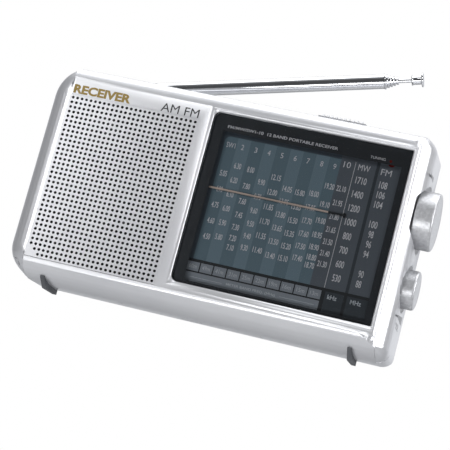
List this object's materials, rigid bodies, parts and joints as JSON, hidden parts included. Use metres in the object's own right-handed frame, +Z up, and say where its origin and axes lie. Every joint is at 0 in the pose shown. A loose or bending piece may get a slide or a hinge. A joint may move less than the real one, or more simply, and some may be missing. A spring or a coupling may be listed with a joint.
{
  "type": "shortwave receiver",
  "caption": "Slim portable radio with a perforated speaker grille, a wide dial window with a moving pointer, side tuning and volume knobs and a telescopic aerial.",
  "frame": {"origin": "bottom centre of the whole object with the aerial at rest, on the plane that the feet stand on", "axes": "+X towards the knobs, +Y towards the rear, +Z up; the front with the grille and the dial faces -Y"},
  "size_m": [0.1684, 0.0335, 0.1262],
  "materials": {
    "silver_case": "satin silver paint over moulded plastic",
    "clear_window": "clear polished acrylic with a black border",
    "rubber": "matt",
    "screw_steel": "zinc plated",
    "dial_print": "printed",
    "red_lamp": "moulded lens",
    "black_moulding": "moulded",
    "pointer_cream": "painted",
    "white_moulding": "moulded",
    "bright_steel": "turned",
    "brass": "turned",
    "clear_moulding": "moulded",
    "dial_cord": "braided",
    "silver_knob": "silver paint, fine ribs",
    "aerial_chrome": "polished",
    "plated_steel": "pressed and plated",
    "ferrite": "sintered",
    "paper_cone": "pressed paper",
    "board_green": "solder mask",
    "copper_wire": "enamelled",
    "can_aluminium": "drawn",
    "blue_sleeve": "shrunk sleeve",
    "cell_jacket": "printed jacket",
    "red_wire": "insulated"
  },
  "bodies": {
    "case": {"front_cabinet": "silver_case", "rear_cabinet": "silver_case", "speaker_grille": "silver_case", "dial_window": "clear_window", "feet": "rubber", "case_screws": "screw_steel", "dial_scale": "dial_print", "tuning_lamp": "red_lamp", "dial_chassis": "black_moulding", "guide_rod": "bright_steel", "pulley_axles": "bright_steel", "tuning_capacitor": "clear_moulding", "dial_cord": "dial_cord", "volume_pot": "black_moulding", "band_switch": "black_moulding", "aerial_lug": "brass", "speaker_frame": "plated_steel", "speaker_magnet": "ferrite", "speaker_cone": "paper_cone", "speaker_clamps": "screw_steel", "main_board": "board_green", "ferrite_rod": "ferrite", "ferrite_coil": "copper_wire", "ferrite_holders": "white_moulding", "if_transformers": "can_aluminium", "radio_chips": "black_moulding", "electrolytics": "blue_sleeve", "batteries": "cell_jacket", "battery_springs": "screw_steel", "battery_plates": "screw_steel", "earphone_jack": "black_moulding", "power_jack": "black_moulding", "wiring": "red_wire"},
    "tuning": {"tuning_knob": "silver_knob", "tuning_shaft": "bright_steel"},
    "pointer": {"dial_pointer": "pointer_cream", "pointer_carriage": "white_moulding"},
    "drum": {"dial_drum": "white_moulding", "capacitor_shaft": "brass"},
    "right_pulley": {"pulley_right": "white_moulding"},
    "left_pulley": {"pulley_left": "white_moulding"},
    "volume": {"volume_knob": "silver_knob", "volume_shaft": "bright_steel"},
    "band": {"band_slider": "silver_knob"},
    "door": {"battery_door": "silver_case"},
    "swivel": {"aerial_swivel": "aerial_chrome", "aerial_hinge_pin": "bright_steel", "aerial_screw": "screw_steel"},
    "tube_1": {"aerial_tube_1": "aerial_chrome"},
    "tube_2": {"aerial_tube_2": "aerial_chrome"},
    "tube_3": {"aerial_tube_3": "aerial_chrome"},
    "tube_4": {"aerial_tube_4": "aerial_chrome"},
    "tube_5": {"aerial_tube_5": "aerial_chrome"},
    "rod": {"aerial_rod": "aerial_chrome", "aerial_tip": "aerial_chrome"}
  },
  "joints": [
    {"name": "tuning_turn", "type": "hinge", "parent": "case", "child": "tuning", "pos_m": [0.0788, 0, 0.0622], "axis": [1, 0, 0], "range_deg": [-408.13, 213.49]},
    {"name": "pointer_travel", "type": "slide", "parent": "case", "child": "pointer", "axis": [0, 0, 1], "range_m": [-0.02602, 0.01362]},
    {"name": "drum_turn", "type": "hinge", "parent": "case", "child": "drum", "pos_m": [0.0542, -0.00365, 0.0192], "axis": [0, 1, 0], "range_deg": [-118.38, 62.02]},
    {"name": "right_pulley_turn", "type": "hinge", "parent": "case", "child": "right_pulley", "pos_m": [0.0643, -0.00365, 0.0762], "axis": [0, 1, 0], "range_deg": [-596.88, 312.69]},
    {"name": "left_pulley_turn", "type": "hinge", "parent": "case", "child": "left_pulley", "pos_m": [0.04409, -0.00365, 0.0762], "axis": [0, 1, 0], "range_deg": [-596.88, 312.69]},
    {"name": "volume_turn", "type": "hinge", "parent": "case", "child": "volume", "pos_m": [0.0788, 0, 0.0335], "axis": [1, 0, 0], "range_deg": [-150, 150]},
    {"name": "band_slide", "type": "slide", "parent": "case", "child": "band", "axis": [1, 0, 0], "range_m": [-0.0168, 0.0096]},
    {"name": "door_slide", "type": "slide", "parent": "case", "child": "door", "axis": [0, 1, 0], "range_m": [0, 0.025]},
    {"name": "aerial_raise", "type": "hinge", "parent": "case", "child": "swivel", "pos_m": [-0.0732, 0.0115, 0.0903], "axis": [0, -1, 0], "range_deg": [-13.6, 106.4]},
    {"name": "aerial_tilt", "type": "hinge", "parent": "swivel", "child": "tube_1", "pos_m": [-0.06688, 0.0115, 0.09183], "axis": [-0.2351, 0, 0.972], "range_deg": [0, 90]},
    {"name": "section_2_slide", "type": "slide", "parent": "tube_1", "child": "tube_2", "axis": [0.972, 0, 0.2351], "range_m": [0, 0.098]},
    {"name": "section_3_slide", "type": "slide", "parent": "tube_2", "child": "tube_3", "axis": [0.972, 0, 0.2351], "range_m": [0, 0.098]},
    {"name": "section_4_slide", "type": "slide", "parent": "tube_3", "child": "tube_4", "axis": [0.972, 0, 0.2351], "range_m": [0, 0.098]},
    {"name": "section_5_slide", "type": "slide", "parent": "tube_4", "child": "tube_5", "axis": [0.972, 0, 0.2351], "range_m": [0, 0.098]},
    {"name": "section_6_slide", "type": "slide", "parent": "tube_5", "child": "rod", "axis": [0.972, 0, 0.2351], "range_m": [0, 0.098]}
  ],
  "couplings": [
    {"joint": "pointer_travel", "follows": "tuning_turn", "m_per_rad": 0.00365},
    {"joint": "drum_turn", "follows": "tuning_turn", "ratio": 0.28957},
    {"joint": "right_pulley_turn", "follows": "tuning_turn", "ratio": 1.46},
    {"joint": "left_pulley_turn", "follows": "tuning_turn", "ratio": 1.46}
  ]
}
